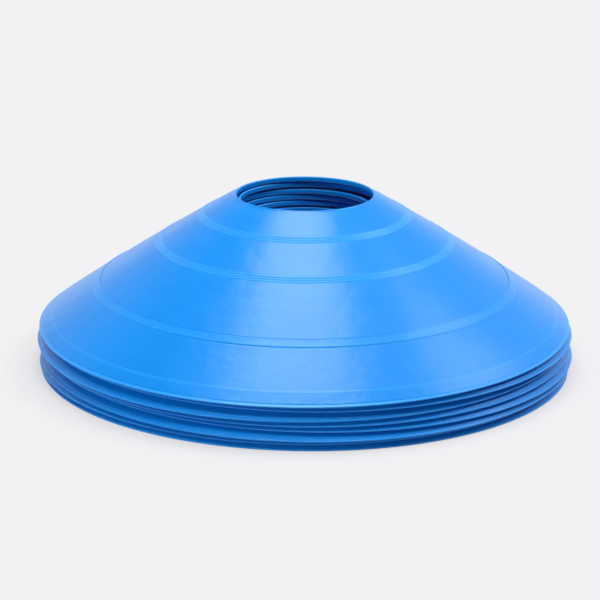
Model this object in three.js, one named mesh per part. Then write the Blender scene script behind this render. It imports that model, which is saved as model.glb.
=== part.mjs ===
// A stack of eight round marker discs, nested one over another as they are stored.
// Every disc is the same thin moulded saucer: a shallow cone with a hole through its top.
// Millimetres, +Z up. The origin is the middle of the stack's outline, on the surface it stands on.
import * as THREE from "three";

// Driving dimensions of one disc.
const rimDiameter = 200;
const holeDiameter = 51;
const discHeight = 48.4;
const wall = 0.9; // square to the sheet
const coneBulge = 0.85; // how far the sheet swells above a straight cone, halfway down

// The lip round the hole: a flatter, thicker band.
const lipWidth = 4.3;
const lipRise = 2.05;
const lipDepth = 1.7;
const lipRounding = 0.4;

// The rounded bead round the outer edge, with a flat foot under it.
const beadWidth = 0.9;
const beadHeight = 1.3;
const beadRounding = 0.4;
const footBevel = 0.4;
const footWidth = 0.45;
const grooveDepth = 0.15; // the fine groove just inside the bead

// Raised rings round the cone: a broad flat one, set in from the bead, and two fine ones, set out
// from the lip. Each slopes down at its two shoulders, and a fine one is only its shoulders.
const ringRise = 0.25;
const broadRingInset = 20.9; // from the bead to its middle
const broadRingFlat = 2.6;
const broadRingShoulder = 0.3;
const innerRingOutset = 8.9; // from the lip to its crest
const middleRingOutset = 24.9;
const fineRingShoulder = 1.05;

// How the discs lie in the nest, the lowest first. They fit loosely, so each leans a little, in
// degrees, and sits a little off centre, in millimetres. Forward is -Y and right is +X.
const nestGap = 0.33; // left between one disc and the next, straight up
const lies = [
  { forward: 0, right: 0, x: 0, y: 0 },
  { forward: -0.05, right: -0.05, x: -0.5, y: 0.2 },
  { forward: 0.55, right: 0.35, x: 0.35, y: -0.9 },
  { forward: 0.2, right: 0.75, x: 1.35, y: 0.35 },
  { forward: 0.45, right: 0.15, x: 0.1, y: 0.05 },
  { forward: 0.65, right: -0.4, x: -1.05, y: -0.3 },
  { forward: 0.25, right: 0.25, x: 0.85, y: 0.25 },
  { forward: 0.6, right: -0.35, x: -0.25, y: -0.5 },
];
const settlingSteps = 4; // how often a disc's resting height is worked out again

const segments = 44; // flats round each disc
const discBlue = 0x3495f4;

const rimRadius = rimDiameter / 2;
const holeRadius = holeDiameter / 2;

// The cone runs from the bead up to the lip. Heights are of its upper face.
const coneOuterRadius = rimRadius - beadWidth;
const coneOuterHeight = beadHeight - grooveDepth;
const coneInnerRadius = holeRadius + lipWidth;
const coneInnerHeight = discHeight - lipRise;
const coneSlope = (coneInnerHeight - coneOuterHeight) / (coneOuterRadius - coneInnerRadius);
const wallUpright = wall * Math.hypot(1, coneSlope);

function coneHeight(radius) {
  const along = (radius - coneInnerRadius) / (coneOuterRadius - coneInnerRadius);
  const swell = 4 * coneBulge * along * (1 - along);
  return coneOuterHeight + (coneOuterRadius - radius) * coneSlope + swell;
}

// The rings from the outer one in.
const rings = [
  { radius: coneOuterRadius - broadRingInset, flat: broadRingFlat, shoulder: broadRingShoulder },
  { radius: coneInnerRadius + middleRingOutset, flat: 0, shoulder: fineRingShoulder },
  { radius: coneInnerRadius + innerRingOutset, flat: 0, shoulder: fineRingShoulder },
];

// One raised ring in section, from its outer edge in. A ring without a flat has a single crest.
function ringSection({ radius, flat, shoulder }) {
  const crest = flat > 0 ? [radius + flat / 2, radius - flat / 2] : [radius];
  const reach = flat / 2 + shoulder;
  return [
    new THREE.Vector2(radius + reach, coneHeight(radius + reach)),
    ...crest.map((r) => new THREE.Vector2(r, coneHeight(r) + ringRise)),
    new THREE.Vector2(radius - reach, coneHeight(radius - reach)),
  ];
}

// The upper side in section, from the rim in and up to the edge of the hole.
function upperSection() {
  return [
    new THREE.Vector2(rimRadius, footBevel),
    new THREE.Vector2(rimRadius, beadHeight - beadRounding),
    new THREE.Vector2(rimRadius - beadRounding, beadHeight),
    new THREE.Vector2(coneOuterRadius, coneOuterHeight),
    ...rings.flatMap(ringSection),
    new THREE.Vector2(coneInnerRadius, coneInnerHeight),
    new THREE.Vector2(holeRadius + lipRounding, discHeight),
    new THREE.Vector2(holeRadius, discHeight - lipRounding),
  ];
}

// The underside in section, from the hole down and out to the foot. It follows the cone one wall
// below the upper side, but is smooth where that has its rings, and ends in the flat foot.
function lowerSection() {
  const lipFoot = discHeight - lipDepth;
  const wallTop = coneInnerRadius + (coneInnerHeight - wallUpright - lipFoot) / coneSlope;
  const lipUnder = Math.max(wallTop, holeRadius + lipRounding);
  const footOuter = rimRadius - footBevel;
  const ringRadii = rings.map(({ radius }) => radius).reverse();
  return [
    new THREE.Vector2(holeRadius, lipFoot),
    new THREE.Vector2(lipUnder, Math.min(lipFoot, coneHeight(lipUnder) - wallUpright)),
    ...ringRadii.map((r) => new THREE.Vector2(r, coneHeight(r) - wallUpright)),
    new THREE.Vector2(footOuter - footWidth, 0),
    new THREE.Vector2(footOuter, 0),
  ];
}

const upper = upperSection();
const lower = lowerSection();

function discGeometry() {
  const outline = [...upper, ...lower, upper[0]];
  const geometry = new THREE.LatheGeometry(outline, segments);
  return geometry.rotateX(Math.PI / 2);
}

// Height of a section at one radius, on the straight line between its nearest points.
function heightAt(section, radius) {
  for (let i = 1; i < section.length; i += 1) {
    const a = section[i - 1];
    const b = section[i];
    const low = Math.min(a.x, b.x);
    const high = Math.max(a.x, b.x);
    if (radius >= low && radius <= high && high > low) {
      return a.y + ((radius - a.x) / (b.x - a.x)) * (b.y - a.y);
    }
  }
  return null;
}

// Where a disc lies: turned by its lean, then moved to its place at a given height.
function placed(lie, height) {
  const { degToRad } = THREE.MathUtils;
  const lean = new THREE.Euler(degToRad(lie.forward), degToRad(lie.right), 0);
  const matrix = new THREE.Matrix4().makeRotationFromEuler(lean);
  return matrix.setPosition(lie.x, lie.y, height);
}

// The points of a section all round a disc.
function pointsRound(section) {
  const turns = Array.from({ length: segments }, (_, i) => (i * 2 * Math.PI) / segments);
  return turns.flatMap((turn) =>
    section.map(({ x, y }) => new THREE.Vector3(x * Math.cos(turn), x * Math.sin(turn), y)),
  );
}

// The least upright gap between two placed discs, looked for both ways: from the points of the
// upper disc's underside down, and from the points of the lower disc's upper side up.
function leastGap(above, below) {
  const toBelow = below.clone().invert().multiply(above);
  const toAbove = toBelow.clone().invert();
  let least = Infinity;
  for (const point of pointsRound(lower)) {
    point.applyMatrix4(toBelow);
    const surface = heightAt(upper, Math.hypot(point.x, point.y));
    if (surface !== null) least = Math.min(least, point.z - surface);
  }
  for (const point of pointsRound(upper)) {
    point.applyMatrix4(toAbove);
    const surface = heightAt(lower, Math.hypot(point.x, point.y));
    if (surface !== null) least = Math.min(least, surface - point.z);
  }
  return least;
}

// The height at which a disc rests in the nest: it starts a full disc higher and comes down until
// only the nest gap is left. The lean makes each step a little short, so it takes a few.
function restingHeight(lie, lieBelow, heightBelow) {
  const below = placed(lieBelow, heightBelow);
  let height = heightBelow + discHeight;
  for (let step = 0; step < settlingSteps; step += 1) {
    height += nestGap - leastGap(placed(lie, height), below);
  }
  return height;
}

const stack = new THREE.Group();
let height = 0;
lies.forEach((lie, i) => {
  if (i > 0) height = restingHeight(lie, lies[i - 1], height);
  const material = new THREE.MeshStandardMaterial({ color: discBlue, roughness: 0.42, metalness: 0 });
  const disc = new THREE.Mesh(discGeometry(), material);
  disc.name = `disc_${i + 1}`;
  disc.applyMatrix4(placed(lie, height));
  stack.add(disc);
});

// Centre the whole outline on the origin.
const outlineBox = new THREE.Box3().setFromObject(stack, true);
const middle = outlineBox.getCenter(new THREE.Vector3());
stack.position.set(-middle.x, -middle.y, 0);

export default stack;
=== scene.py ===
import math

import bpy
import numpy as np
from mathutils import Matrix, Vector


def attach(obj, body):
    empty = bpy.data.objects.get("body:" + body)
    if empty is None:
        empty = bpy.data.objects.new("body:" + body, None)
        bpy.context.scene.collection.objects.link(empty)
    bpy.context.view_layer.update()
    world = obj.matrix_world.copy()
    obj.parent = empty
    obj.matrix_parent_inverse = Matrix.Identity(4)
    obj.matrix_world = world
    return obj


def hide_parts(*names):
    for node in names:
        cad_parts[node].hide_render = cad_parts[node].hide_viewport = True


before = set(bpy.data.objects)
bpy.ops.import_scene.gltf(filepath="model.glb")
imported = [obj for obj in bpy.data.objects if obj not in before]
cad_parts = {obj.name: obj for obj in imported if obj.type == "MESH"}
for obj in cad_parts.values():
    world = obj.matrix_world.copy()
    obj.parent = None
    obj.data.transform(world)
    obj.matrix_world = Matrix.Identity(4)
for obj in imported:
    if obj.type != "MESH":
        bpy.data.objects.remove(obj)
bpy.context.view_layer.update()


# The eight marker discs
# Each is a thin saucer-shaped cone, injection moulded in one shot from soft blue polyethylene, and
# all eight come from the same mould. They lie loose, nested one on another. One disc is drawn ring
# by ring from the foot, over the top and back underneath, and is then copied for the rest.

mm = 0.001

# Sizes in millimetres: radii from the disc's axis, heights from its foot.
wall_upright = 1.074  # the wall, measured straight up
cone_outer_radius, cone_outer_height = 99.1, 1.15
cone_inner_radius, cone_inner_height = 29.8, 46.35
cone_bulge = 0.85  # how far the cone swells above a straight line, halfway down
cone_slope = (cone_inner_height - cone_outer_height) / (cone_outer_radius - cone_inner_radius)


def cone_height(radius):
    """Height of the plain cone's upper face: straight but for a slight swell halfway down."""
    along = (radius - cone_inner_radius) / (cone_outer_radius - cone_inner_radius)
    swell = 4 * cone_bulge * along * (1 - along)
    return cone_outer_height + (cone_outer_radius - radius) * cone_slope + swell


def fine_ridges(radius, middle, spacing, count, rise):
    """Rounded ridges side by side, with fine valleys between them and at both ends."""
    along = (radius - middle) / spacing + count / 2
    return rise / 2 * (1 - math.cos(2 * math.pi * along)) if 0 < along < count else 0.0


def valley(radius, middle, half_width, depth):
    """A fine rounded groove in section."""
    away = abs(radius - middle) / half_width
    return -depth / 2 * (1 + math.cos(math.pi * away)) if away < 1 else 0.0


def step_up(radius, edge, shoulder):
    """Rises from 0 outside the edge to 1 inside it, over twice the shoulder."""
    along = min(max((edge + shoulder - radius) / (2 * shoulder), 0.0), 1.0)
    return along * along * (3 - 2 * along)


# The raised rings and the groove, from the lip out.
inner_ring, middle_ring = 38.73, 54.72
ridge_spacing, ridge_rise = 0.87, 0.2
broad_ring_in, broad_ring_out = 77.0, 79.65
broad_ring_rise, broad_ring_tilt = 0.17, 0.15
rim_ring, rim_groove = 95.25, 99.15
rim_droop = 0.045  # how much steeper the cone is outside the rim ring


def relief(radius):
    """What the moulded rings add to the cone's height."""
    height = 0.0
    for middle in (inner_ring, middle_ring):
        height += fine_ridges(radius, middle, ridge_spacing, 3, ridge_rise)
    flat = step_up(radius, broad_ring_out, 0.17) - step_up(radius, broad_ring_in, 0.13)
    across = min(max((broad_ring_out - radius) / (broad_ring_out - broad_ring_in), 0.0), 1.0)
    height += (broad_ring_rise + broad_ring_tilt * across * across) * flat
    height += valley(radius, broad_ring_out + 0.3, 0.28, 0.06)
    height += valley(radius, broad_ring_in - 0.25, 0.25, 0.09)
    height += fine_ridges(radius, rim_ring, 1.1, 1, 0.03)
    height -= rim_droop * max(radius - rim_ring, 0)
    height += valley(radius, rim_groove, 0.42, 0.12)
    return height


def radii_over(high, low, spacing):
    """Radii from high to low, evenly spaced at about the spacing."""
    count = max(round((high - low) / spacing), 1)
    return [high + (low - high) * i / count for i in range(count)]


# Where the cone's rings of points lie: close together on every raised ring and groove.
cone_radii = (
    radii_over(99.6, 98.6, 0.08)
    + radii_over(98.6, 97.5, 0.15)
    + radii_over(97.5, 96.0, 0.75)
    + radii_over(96.0, 94.6, 0.1)
    + radii_over(94.6, 80.4, 2.84)
    + radii_over(80.4, 79.3, 0.08)
    + radii_over(79.3, 77.1, 0.37)
    + radii_over(77.1, 76.1, 0.08)
    + radii_over(76.1, 56.2, 3.1)
    + radii_over(56.2, 53.2, 0.1)
    + radii_over(53.2, 40.2, 3.1)
    + radii_over(40.2, 37.2, 0.1)
    + radii_over(37.2, 30.5, 2.2)
)


def arc(middle, radius, start, end, count):
    """Points round a rounded corner, from start to end degrees."""
    turns = [math.radians(start + (end - start) * i / count) for i in range(count + 1)]
    return [(middle[0] + radius * math.cos(t), middle[1] + radius * math.sin(t)) for t in turns]


def section():
    """The disc's section, from the foot's outer edge up and over to the foot's inner edge."""
    foot = arc((99.8, 0.18), 0.18, -90, -20, 3)
    edge = arc((99.84, 0.28), 0.16, 0, 65, 4)
    rim = [(99.8, 0.475), (99.68, 0.56)]
    cone = [(r, cone_height(r) + relief(r)) for r in cone_radii]
    crease = [(30.2, cone_height(30.2)), (29.8, 46.32), (29.4, 46.52)]
    crown = [(28.6, 46.92), (27.6, 47.45), (26.9, 47.83), (26.4, 48.1)]
    lip_edge = arc((26.0, 47.9), 0.5, 62, 180, 8)
    under_lip = [(25.5, 47.1), (25.5, 46.65), (25.58, 46.54), (25.75, 46.5), (27.3, 46.48)]
    under = [(r, cone_height(r) - wall_upright) for r in (28.1, 33.0, 38.7, 46.5, 54.7, 62.0, 70.0)]
    under += [(r, cone_height(r) - wall_upright) for r in (78.2, 85.0, 92.0, 96.5)]
    return foot + edge + rim + cone + crease + crown + lip_edge + under_lip + under + [(99.15, 0.0)]


turns_round = 180
rings = section()
bpy.ops.object.select_all(action="DESELECT")
bpy.ops.mesh.primitive_circle_add(vertices=turns_round, radius=rings[0][0] * mm)
disc = bpy.context.object
disc.name = "moulded_disc"
bpy.ops.object.mode_set(mode="EDIT")
bpy.ops.mesh.select_all(action="SELECT")
for (last_radius, last_height), (radius, height) in zip(rings, rings[1:]):
    bpy.ops.mesh.extrude_edges_move(
        TRANSFORM_OT_translate={"value": (0, 0, (height - last_height) * mm)}
    )
    grow = radius / last_radius
    bpy.ops.transform.resize(value=(grow, grow, 1), center_override=(0, 0, 0))
bpy.ops.mesh.select_all(action="DESELECT")
bpy.ops.mesh.select_non_manifold()
bpy.ops.mesh.bridge_edge_loops()
bpy.ops.mesh.select_all(action="SELECT")
bpy.ops.mesh.normals_make_consistent(inside=False)
bpy.ops.object.mode_set(mode="OBJECT")
bpy.ops.object.shade_smooth_by_angle(angle=math.radians(40))


# The plastic is dyed through and has a satin skin from the mould: faint clouds where the dye
# flowed, slow waves and a soft grain in the skin, a painted highlight on the raised rings and the
# rim edge, and scuffs, with painted glints on the rim edge.

class NodeTree:
    """An emptied node tree, and the few ways in which this script adds nodes to it."""

    def __init__(self, tree):
        self.tree = tree
        tree.nodes.clear()

    def node(self, kind, **settings):
        """A new node. A setting is one of the node's own properties or else an input's value."""
        made = self.tree.nodes.new(kind)
        for key, value in settings.items():
            if key in made.bl_rna.properties.keys():
                setattr(made, key, value)
            else:
                made.inputs[key].default_value = value
        return made

    def link(self, source, target):
        self.tree.links.new(source, target)

    def maths(self, operation, *values):
        """The result of a sum on sockets and numbers."""
        made = self.node("ShaderNodeMath", operation=operation)
        for value, socket in zip(values, made.inputs):
            if isinstance(value, (int, float)):
                socket.default_value = value
            else:
                self.link(value, socket)
        return made.outputs[0]

    def ranged(self, value, low, high, at_low, at_high, interpolation="LINEAR"):
        """The value mapped from low..high to at_low..at_high, and held at both ends."""
        made = self.node("ShaderNodeMapRange", interpolation_type=interpolation)
        self.link(value, made.inputs["Value"])
        made.inputs["From Min"].default_value = low
        made.inputs["From Max"].default_value = high
        made.inputs["To Min"].default_value = at_low
        made.inputs["To Max"].default_value = at_high
        return made.outputs[0]

    def noise(self, place, seed, scale, detail, roughness=0.5):
        """A cloudy value about 0.5, of its own for each seed."""
        made = self.node("ShaderNodeTexNoise", noise_dimensions="4D")
        made.inputs["W"].default_value = seed
        made.inputs["Scale"].default_value = scale
        made.inputs["Detail"].default_value = detail
        made.inputs["Roughness"].default_value = roughness
        self.link(place, made.inputs["Vector"])
        return made.outputs["Fac"]

    def mixed_colour(self, share, first, second):
        """The first colour, going over to the second as the share goes from 0 to 1."""
        made = self.node("ShaderNodeMix", data_type="RGBA")
        self.link(share, made.inputs["Factor"])
        for colour, socket in ((first, made.inputs["A"]), (second, made.inputs["B"])):
            if isinstance(colour, tuple):
                socket.default_value = (*colour, 1)
            else:
                self.link(colour, socket)
        return made.outputs["Result"]

    def mixed_shader(self, share, first, second):
        """The first shader, going over to the second as the share goes from 0 to 1."""
        made = self.node("ShaderNodeMixShader")
        for source, target in zip((share, first, second), made.inputs):
            self.link(source, target)
        return made.outputs[0]


dye_deep, dye_light = (0.003, 0.258, 0.82), (0.005, 0.281, 0.87)
# The paler ridge blue is a painted highlight on the raised rings and the rim edge. The scuff blue
# is real scuffing on the broad ring and painted glints on the rim edge.
painted_highlight_blue, scuff_and_glint_blue = (0.02, 0.336, 0.95), (0.07, 0.38, 0.93)


def satin_plastic(name, place, lean, seed):
    """The plastic of one disc, laid out from the foot and the axis that the disc has at rest."""
    material = bpy.data.materials.new(name)
    material.use_nodes = True
    skin = NodeTree(material.node_tree)

    coordinates = skin.node("ShaderNodeTexCoord")
    laid = skin.node("ShaderNodeMapping", vector_type="TEXTURE", Location=place, Rotation=lean)
    skin.link(coordinates.outputs["Object"], laid.inputs["Vector"])
    own = laid.outputs[0]  # measured from the disc's own foot and axis
    in_plan = skin.node("ShaderNodeVectorMath", operation="MULTIPLY")
    in_plan.inputs[1].default_value = (1, 1, 0)
    skin.link(own, in_plan.inputs[0])
    radius = skin.node("ShaderNodeVectorMath", operation="LENGTH")
    skin.link(in_plan.outputs[0], radius.inputs[0])

    def band(middle, half_width, blur=0.15):
        """1 on a ring of the disc, falling to 0 at both its sides. Sizes in millimetres."""
        away = skin.maths("ABSOLUTE", skin.maths("SUBTRACT", radius.outputs["Value"], middle * mm))
        return skin.ranged(away, (half_width + blur) * mm, (half_width - blur) * mm, 0.0, 1.0)

    def either(one, other):
        """As much as the greater of the two."""
        return skin.maths("MAXIMUM", one, other)

    clouds = skin.noise(own, seed, 24.0, 4.0, 0.55)
    mottle = skin.noise(own, seed + 3, 160.0, 2.0)
    flecks = skin.noise(own, seed + 5, 260.0, 6.0, 0.7)
    grain = skin.noise(own, seed + 7, 1400.0, 3.0)

    broad_ring = band((broad_ring_out + broad_ring_in) / 2, 1.4)
    rim_edge = band(99.9, 0.8)
    # Painted highlight: the paler blue goes fully on the fine rings and the rim edge, and half on
    # the broad ring and the rim ring.
    full_highlight_rings = either(either(band(inner_ring, 1.3), band(middle_ring, 1.3)), rim_edge)
    half_highlight_rings = skin.maths("MULTIPLY", either(broad_ring, band(rim_ring, 0.5)), 0.5)
    painted_highlight_share = either(full_highlight_rings, half_highlight_rings)
    # Pale rough flecks: real scuffs on the broad ring, and painted glints on the rim edge.
    scuff_and_glint_rings = either(broad_ring, rim_edge)
    scuffs_and_glints = skin.maths("MULTIPLY", skin.ranged(flecks, 0.54, 0.68, 0.0, 0.5), scuff_and_glint_rings)

    dye = skin.mixed_colour(skin.ranged(clouds, 0.3, 0.7, 0.0, 1.0), dye_deep, dye_light)
    # The dye with the painted highlight on the rings, then the pale flecks over it.
    dye_and_painted_highlight = skin.mixed_colour(painted_highlight_share, dye, painted_highlight_blue)
    with_highlight_scuffs_glints = skin.mixed_colour(scuffs_and_glints, dye_and_painted_highlight, scuff_and_glint_blue)
    satin = skin.ranged(mottle, 0.3, 0.7, 0.285, 0.315)
    roughness = skin.maths("MULTIPLY_ADD", scuffs_and_glints, 0.15, satin)

    waves = skin.node("ShaderNodeBump", Strength=1.0, Distance=0.00022)
    skin.link(mottle, waves.inputs["Height"])
    fine = skin.node("ShaderNodeBump", Strength=0.08, Distance=0.00003)
    skin.link(grain, fine.inputs["Height"])
    skin.link(waves.outputs[0], fine.inputs["Normal"])

    shader = skin.node("ShaderNodeBsdfPrincipled", IOR=1.5)
    skin.link(with_highlight_scuffs_glints, shader.inputs["Base Color"])
    skin.link(roughness, shader.inputs["Roughness"])
    skin.link(fine.outputs[0], shader.inputs["Normal"])
    output = skin.node("ShaderNodeOutputMaterial")
    skin.link(shader.outputs[0], output.inputs["Surface"])
    return material


# Each disc leans and shifts a little in the one below, so each copy takes the axis and the foot
# plane of its own solid in the frame.

def lie_of(solid):
    """Where a solid disc stands: its axis, and the point of the axis in its foot plane."""
    count = len(solid.data.vertices)
    points = np.empty(count * 3)
    solid.data.vertices.foreach_get("co", points)
    points = points.reshape(count, 3)
    middle = points.mean(axis=0)
    spread = np.cov((points - middle).T)
    axis = np.linalg.eigh(spread)[1][:, 0]
    axis = axis * np.sign(axis[2])
    foot = ((points - middle) @ axis).min()
    return Vector(middle + axis * foot), Vector(axis)


for number in range(1, 9):
    solid_name = f"disc_{number}"
    foot_middle, axis = lie_of(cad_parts[solid_name])
    lean = Vector((0, 0, 1)).rotation_difference(axis)
    bpy.ops.object.select_all(action="DESELECT")
    disc.select_set(True)
    bpy.context.view_layer.objects.active = disc
    bpy.ops.object.duplicate(linked=False)
    copy = bpy.context.object
    copy.name = f"moulded_{solid_name}"
    copy.data.name = copy.name
    copy.matrix_world = Matrix.Translation(foot_middle) @ lean.to_matrix().to_4x4()
    bpy.ops.object.transform_apply(location=True, rotation=True, scale=True)
    plastic = satin_plastic(f"satin_blue_{number}", foot_middle, lean.to_euler(), number * 11.0)
    copy.data.materials.clear()
    copy.data.materials.append(plastic)
    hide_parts(solid_name)
    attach(copy, solid_name)
bpy.data.objects.remove(disc)


# The camera
# It looks down at the stack from the front, from a good way off with a long lens.

camera_target = Vector((-2.098, 0.278, 22.898)) * mm
camera_elevation = math.radians(16.7515)
camera_roll = math.radians(0.5785)
camera_away = 0.76
camera_data = bpy.data.cameras.new("camera")
camera_data.sensor_width = 36.0
camera_data.lens = 120.107  # a picture 0.228 m wide at the target
camera = bpy.data.objects.new("camera", camera_data)
bpy.context.scene.collection.objects.link(camera)
backwards = Vector((0, -math.cos(camera_elevation), math.sin(camera_elevation)))
camera.location = camera_target + backwards * camera_away
camera.rotation_mode = "ZYX"
camera.rotation_euler = (math.pi / 2 - camera_elevation, 0, camera_roll)
bpy.context.scene.camera = camera


# The floor
# A wide pale floor. The camera and gloss see it as the photograph's even pale tone, and the floor
# keeps the stack's soft shadow, which fades out into the even tone away from the stack.

pale_tone = (0.888, 0.888, 0.905)
floor_size = 12.0
shadow_inner, shadow_outer = 0.098, 0.122  # the shadow fades between these distances

bpy.ops.object.select_all(action="DESELECT")
bpy.ops.mesh.primitive_plane_add(size=floor_size, location=(0, 0, 0))
floor = bpy.context.object
floor.name = "studio_floor"
paper = bpy.data.materials.new("pale_floor")
paper.use_nodes = True
paper_tree = NodeTree(paper.node_tree)
ray = paper_tree.node("ShaderNodeLightPath").outputs
away = paper_tree.node("ShaderNodeVectorMath", operation="LENGTH")
paper_tree.link(paper_tree.node("ShaderNodeTexCoord").outputs["Object"], away.inputs[0])
matte = paper_tree.node("ShaderNodeBsdfDiffuse")
matte_tone = paper_tree.mixed_colour(ray["Is Camera Ray"], (0.33, 0.33, 0.335), (0.66, 0.66, 0.67))
paper_tree.link(matte_tone, matte.inputs["Color"])
even = paper_tree.node("ShaderNodeEmission", Color=(*pale_tone, 1))
seen_or_mirrored = paper_tree.maths("MAXIMUM", ray["Is Camera Ray"], ray["Is Glossy Ray"])
seen_at_all = paper_tree.maths("MAXIMUM", seen_or_mirrored, ray["Is Transmission Ray"])
out_of_shadow = paper_tree.ranged(
    away.outputs["Value"], shadow_inner, shadow_outer, 0.62, 1.0, interpolation="SMOOTHSTEP"
)
even_share = paper_tree.maths("MULTIPLY", seen_at_all, out_of_shadow)
paper_out = paper_tree.node("ShaderNodeOutputMaterial")
paper_mix = paper_tree.mixed_shader(even_share, matte.outputs[0], even.outputs[0])
paper_tree.link(paper_mix, paper_out.inputs["Surface"])
floor.data.materials.append(paper)


# The surround
# The camera sees the floor's pale tone all round. Gloss sees a pale backdrop behind the stack that
# fades with height and a dim room in front of it. Everything else gets only a little fill.

surround = bpy.data.worlds.new("studio_surround")
bpy.context.scene.world = surround
surround.use_nodes = True
room = NodeTree(surround.node_tree)
way = room.node("ShaderNodeSeparateXYZ")
room.link(room.node("ShaderNodeTexCoord").outputs["Generated"], way.inputs[0])

backdrop = room.node("ShaderNodeValToRGB")
room.link(way.outputs["Z"], backdrop.inputs["Fac"])
lowest_tone, highest_tone = backdrop.color_ramp.elements
lowest_tone.position, lowest_tone.color = 0.10, (0.95, 0.95, 0.96, 1)
highest_tone.position, highest_tone.color = 0.75, (0.15, 0.15, 0.153, 1)
for height, tone in ((0.18, 0.58), (0.50, 0.50)):
    backdrop.color_ramp.elements.new(height).color = (tone, tone, tone * 1.01, 1)
behind = room.ranged(way.outputs["Y"], -0.15, 0.35, 0.08, 1.0)
backdrop_sky = room.node("ShaderNodeBackground")
room.link(backdrop.outputs["Color"], backdrop_sky.inputs["Color"])
room.link(behind, backdrop_sky.inputs["Strength"])

fill_sky = room.node("ShaderNodeBackground", Color=(0.04, 0.04, 0.042, 1))
pale_sky = room.node("ShaderNodeBackground", Color=(*pale_tone, 1))
ray = room.node("ShaderNodeLightPath").outputs
mirrored = room.maths("MAXIMUM", ray["Is Glossy Ray"], ray["Is Transmission Ray"])
gloss_or_fill = room.mixed_shader(mirrored, fill_sky.outputs[0], backdrop_sky.outputs[0])
seen_or_rest = room.mixed_shader(ray["Is Camera Ray"], gloss_or_fill, pale_sky.outputs[0])
room_out = room.node("ShaderNodeOutputWorld")
room.link(seen_or_rest, room_out.inputs["Surface"])


# The softboxes
# A wide one overhead makes the long highlight down the front, and a dimmer one high on the right
# makes the glints on the rims. The fills are above the front, on the right, and low on the left.

def softbox(name, place, aim, width, length, radiance, glints):
    """A rectangular lamp that faces its aim, of even radiance. A fill light makes no glints."""
    data = bpy.data.lights.new(name, "AREA")
    data.shape = "RECTANGLE"
    data.size = width
    data.size_y = length
    data.energy = radiance * math.pi * width * length
    lamp = bpy.data.objects.new(name, data)
    bpy.context.scene.collection.objects.link(lamp)
    lamp.location = place
    lamp.visible_glossy = glints
    towards = Vector(aim) - Vector(place)
    lamp.rotation_euler = towards.to_track_quat("-Z", "Y").to_euler()


# Name, place, aim, width, length, radiance and whether it makes glints. Lengths are in metres.
softbox("overhead_softbox", (-0.05, 0.14, 1.0), (-0.05, 0.14, 0.03), 0.50, 0.66, 5.3, True)
softbox("right_softbox", (0.61, 0.11, 0.68), (0, 0, 0.03), 0.44, 0.40, 2.7, True)
softbox("front_fill", (-0.10, -0.40, 0.95), (0, 0, 0.03), 1.0, 0.2, 8.2, False)
softbox("right_fill", (0.72, 0.10, 0.75), (0, 0, 0.03), 0.8, 0.6, 2.45, False)
softbox("low_fill", (-0.76, -0.66, 0.095), (0, 0, 0.06), 1.2, 0.12, 7.5, False)


# The picture
# Colours are shown as they are, with no film curve.

bpy.context.scene.view_settings.view_transform = "Standard"
